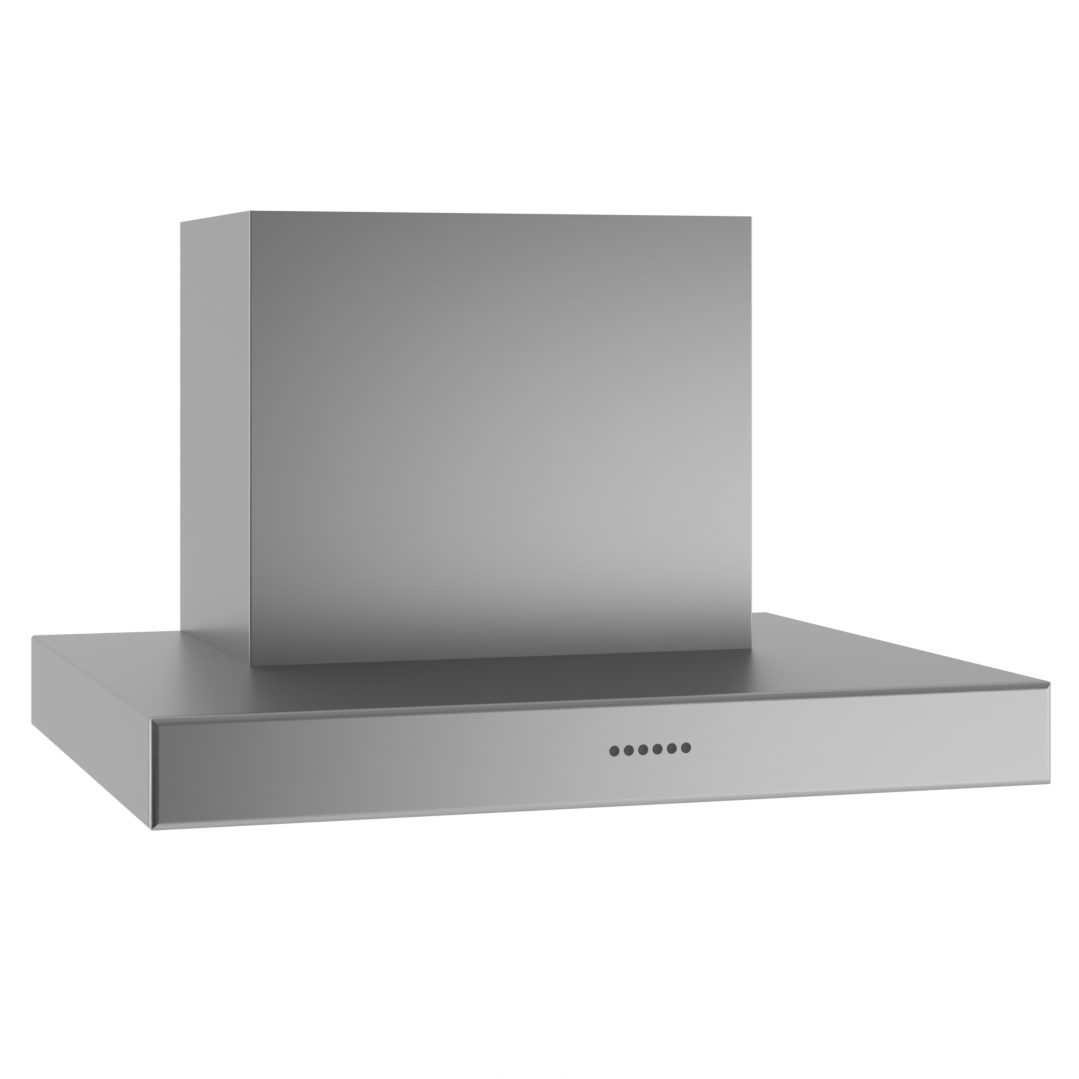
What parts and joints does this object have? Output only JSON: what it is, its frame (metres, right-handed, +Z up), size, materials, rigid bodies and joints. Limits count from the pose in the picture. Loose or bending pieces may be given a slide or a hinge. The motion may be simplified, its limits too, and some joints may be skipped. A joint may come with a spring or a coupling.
{
  "type": "outdoor range hood",
  "caption": "Wall-hung outdoor range hood: brushed steel box canopy under an open-backed duct cover, with hinged baffle filters, push buttons, lights, blower and backdraft damper.",
  "frame": {"origin": "middle of the hood's width, on the wall face, at the level of the canopy's bottom rim", "axes": "+X to the right seen from the front, +Y towards the wall, +Z up"},
  "size_m": [0.914, 0.7605, 0.582],
  "materials": {
    "outer_steel": "fine satin brushed grain",
    "liner_steel": "satin",
    "filter_steel": "satin",
    "wire_steel": "bright drawn wire and spring strip",
    "galvanised_steel": "zinc coated",
    "bare_aluminium": "matt",
    "polished_steel": "polished",
    "motor_enamel": "semi-gloss enamel",
    "button_plastic": "satin charcoal",
    "housing_plastic": "moulded",
    "circuit_board": "solder mask",
    "lens_glass": "frosted",
    "black_rubber": "matt"
  },
  "bodies": {
    "hood": {"canopy_shell": "outer_steel", "front_panel": "outer_steel", "back_panel": "outer_steel", "duct_cover": "outer_steel", "liner_deck": "liner_steel", "liner_skirt": "liner_steel", "grease_gutter": "liner_steel", "filter_clips_left": "wire_steel", "filter_clips_centre": "wire_steel", "filter_clips_right": "wire_steel", "duct_cover_bracket": "galvanised_steel", "filter_hangers": "galvanised_steel", "blower_box": "galvanised_steel", "scroll_housing": "galvanised_steel", "damper_collar": "galvanised_steel", "collar_plate": "galvanised_steel", "motor_bracket": "galvanised_steel", "junction_box": "galvanised_steel", "junction_cover": "galvanised_steel", "capacitor_strap": "galvanised_steel", "light_housing_left": "bare_aluminium", "light_housing_right": "bare_aluminium", "run_capacitor": "bare_aluminium", "damper_spindle": "polished_steel", "sheet_screws": "polished_steel", "light_bezel_left": "polished_steel", "light_bezel_right": "polished_steel", "motor_body": "motor_enamel", "control_housing": "housing_plastic", "light_driver": "housing_plastic", "button_switches": "housing_plastic", "harness_clips": "housing_plastic", "control_board": "circuit_board", "light_board_left": "circuit_board", "light_board_right": "circuit_board", "light_lens_left": "lens_glass", "light_lens_right": "lens_glass", "blower_gasket": "black_rubber", "damper_seal": "black_rubber", "harness_grommet": "black_rubber", "wiring_harness": "black_rubber"},
    "button_1": {"button_1": "button_plastic"},
    "button_2": {"button_2": "button_plastic"},
    "button_3": {"button_3": "button_plastic"},
    "button_4": {"button_4": "button_plastic"},
    "button_5": {"button_5": "button_plastic"},
    "button_6": {"button_6": "button_plastic"},
    "filter_left": {"filter_frame_left": "filter_steel", "filter_baffles_left": "filter_steel"},
    "filter_centre": {"filter_frame_centre": "filter_steel", "filter_baffles_centre": "filter_steel"},
    "filter_right": {"filter_frame_right": "filter_steel", "filter_baffles_right": "filter_steel"},
    "handle_left": {"filter_handle_left": "wire_steel"},
    "handle_centre": {"filter_handle_centre": "wire_steel"},
    "handle_right": {"filter_handle_right": "wire_steel"},
    "rotor": {"motor_shaft": "polished_steel", "blower_wheel": "bare_aluminium"},
    "flap_front": {"damper_flap_front": "bare_aluminium"},
    "flap_rear": {"damper_flap_rear": "bare_aluminium"}
  },
  "joints": [
    {"name": "button_1_press", "type": "slide", "parent": "hood", "child": "button_1", "axis": [0, 1, 0], "range_m": [0, 0.002], "stiffness_N_per_m": 300},
    {"name": "button_2_press", "type": "slide", "parent": "hood", "child": "button_2", "axis": [0, 1, 0], "range_m": [0, 0.002], "stiffness_N_per_m": 300},
    {"name": "button_3_press", "type": "slide", "parent": "hood", "child": "button_3", "axis": [0, 1, 0], "range_m": [0, 0.002], "stiffness_N_per_m": 300},
    {"name": "button_4_press", "type": "slide", "parent": "hood", "child": "button_4", "axis": [0, 1, 0], "range_m": [0, 0.002], "stiffness_N_per_m": 300},
    {"name": "button_5_press", "type": "slide", "parent": "hood", "child": "button_5", "axis": [0, 1, 0], "range_m": [0, 0.002], "stiffness_N_per_m": 300},
    {"name": "button_6_press", "type": "slide", "parent": "hood", "child": "button_6", "axis": [0, 1, 0], "range_m": [0, 0.002], "stiffness_N_per_m": 300},
    {"name": "filter_left_swing", "type": "hinge", "parent": "hood", "child": "filter_left", "pos_m": [-0.28067, -0.125, 0.055], "axis": [1, 0, 0], "range_deg": [0, 90], "deforming": ["filter_clips_left"]},
    {"name": "filter_centre_swing", "type": "hinge", "parent": "hood", "child": "filter_centre", "pos_m": [0, -0.125, 0.055], "axis": [1, 0, 0], "range_deg": [0, 90], "deforming": ["filter_clips_centre"]},
    {"name": "filter_right_swing", "type": "hinge", "parent": "hood", "child": "filter_right", "pos_m": [0.28067, -0.125, 0.055], "axis": [1, 0, 0], "range_deg": [0, 90], "deforming": ["filter_clips_right"]},
    {"name": "handle_left_swing", "type": "hinge", "parent": "filter_left", "child": "handle_left", "pos_m": [-0.28067, -0.538, 0.038], "axis": [1, 0, 0], "range_deg": [-90, 90]},
    {"name": "handle_centre_swing", "type": "hinge", "parent": "filter_centre", "child": "handle_centre", "pos_m": [0, -0.538, 0.038], "axis": [1, 0, 0], "range_deg": [-90, 90]},
    {"name": "handle_right_swing", "type": "hinge", "parent": "filter_right", "child": "handle_right", "pos_m": [0.28067, -0.538, 0.038], "axis": [1, 0, 0], "range_deg": [-90, 90]},
    {"name": "rotor_spin", "type": "hinge", "parent": "hood", "child": "rotor", "pos_m": [0, -0.212, 0.257], "axis": [1, 0, 0], "continuous": true},
    {"name": "flap_front_lift", "type": "hinge", "parent": "hood", "child": "flap_front", "pos_m": [0, -0.146, 0.4252], "axis": [-1, 0, 0], "range_deg": [0, 78]},
    {"name": "flap_rear_lift", "type": "hinge", "parent": "hood", "child": "flap_rear", "pos_m": [0, -0.146, 0.4252], "axis": [1, 0, 0], "range_deg": [0, 78]}
  ]
}
